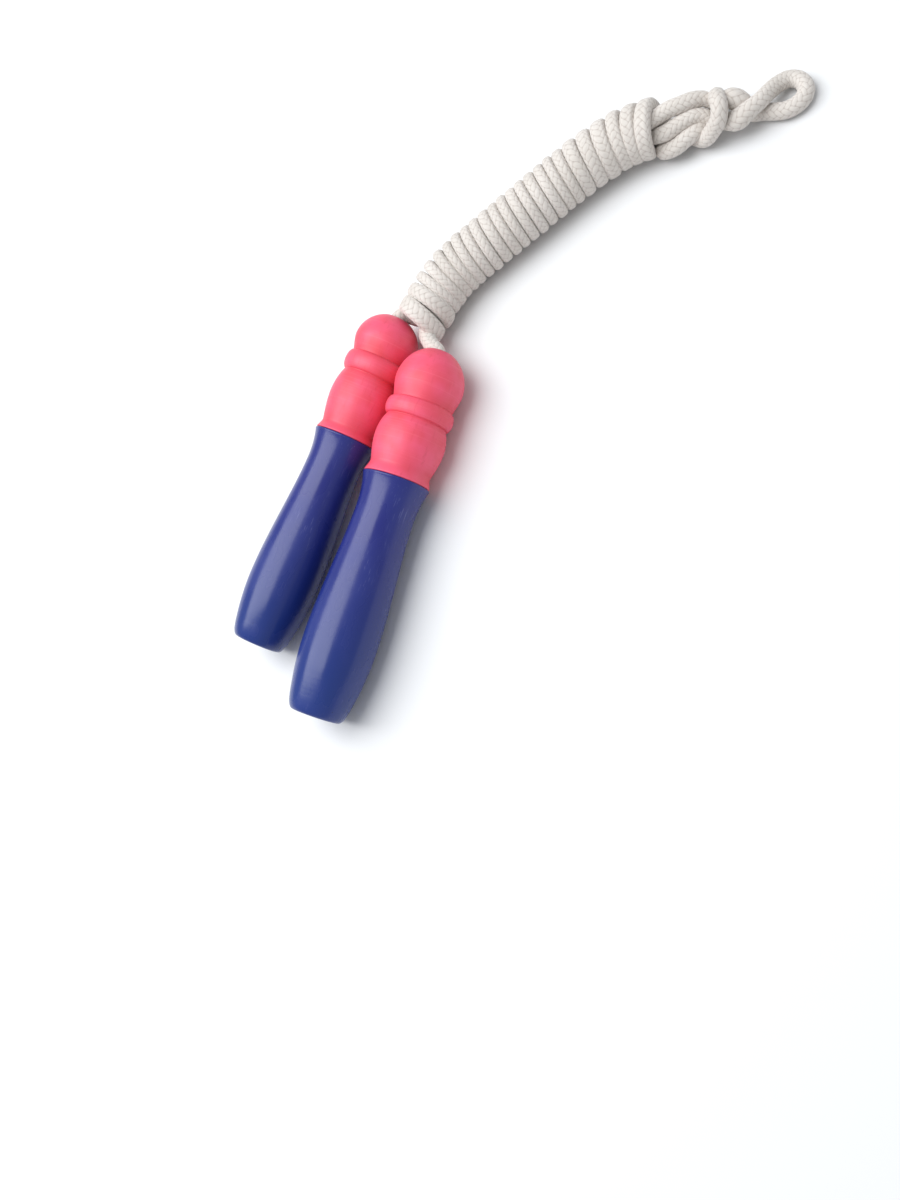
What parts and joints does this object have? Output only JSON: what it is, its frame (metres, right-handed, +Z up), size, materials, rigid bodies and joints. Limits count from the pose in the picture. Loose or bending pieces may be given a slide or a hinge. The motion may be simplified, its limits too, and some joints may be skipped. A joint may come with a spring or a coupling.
{
  "type": "skipping rope",
  "caption": "Skipping rope at rest: two turned wooden handles in red and blue, with the cotton rope wound into a curved hank that ends in a small loop.",
  "frame": {"origin": "on the table under the middle of the two handles", "axes": "+Z up; +Y along the right handle from its grip end to its ball end, towards the hank; +X from the left handle to the right one"},
  "size_m": [0.148, 0.2603, 0.027],
  "materials": {
    "red_paint": "satin coral-red paint on turned wood",
    "blue_paint": "glossy navy-blue enamel on turned wood",
    "steel": "zinc-plated",
    "cotton": "natural white braided cotton"
  },
  "bodies": {
    "hank": {"rope_winding": "cotton", "rope_head": "cotton", "rope_neck": "cotton", "rope_loop": "cotton"},
    "right_end": {"right_rope_end": "cotton", "right_washer": "steel", "right_stop_knot": "cotton"},
    "right_handle": {"right_head": "red_paint", "right_grip": "blue_paint"},
    "left_end": {"left_rope_end": "cotton", "left_washer": "steel", "left_stop_knot": "cotton"},
    "left_handle": {"left_head": "red_paint", "left_grip": "blue_paint"}
  },
  "joints": [
    {"name": "right_swing", "type": "hinge", "parent": "hank", "child": "right_end", "pos_m": [0.0062, 0.0772, 0.0108], "axis": [0, 0, 1], "range_deg": [0, 50]},
    {"name": "right_spin", "type": "hinge", "parent": "right_end", "child": "right_handle", "pos_m": [0.01656, 0, 0.0135], "axis": [0, 1, 0], "continuous": true},
    {"name": "left_swing", "type": "hinge", "parent": "hank", "child": "left_end", "pos_m": [-0.0066, 0.0781, 0.0116], "axis": [0, 0, -1], "range_deg": [0, 50]},
    {"name": "left_spin", "type": "hinge", "parent": "left_end", "child": "left_handle", "pos_m": [-0.00722, 0.07509, 0.01282], "axis": [0.0899, 0.9959, 0], "continuous": true}
  ]
}
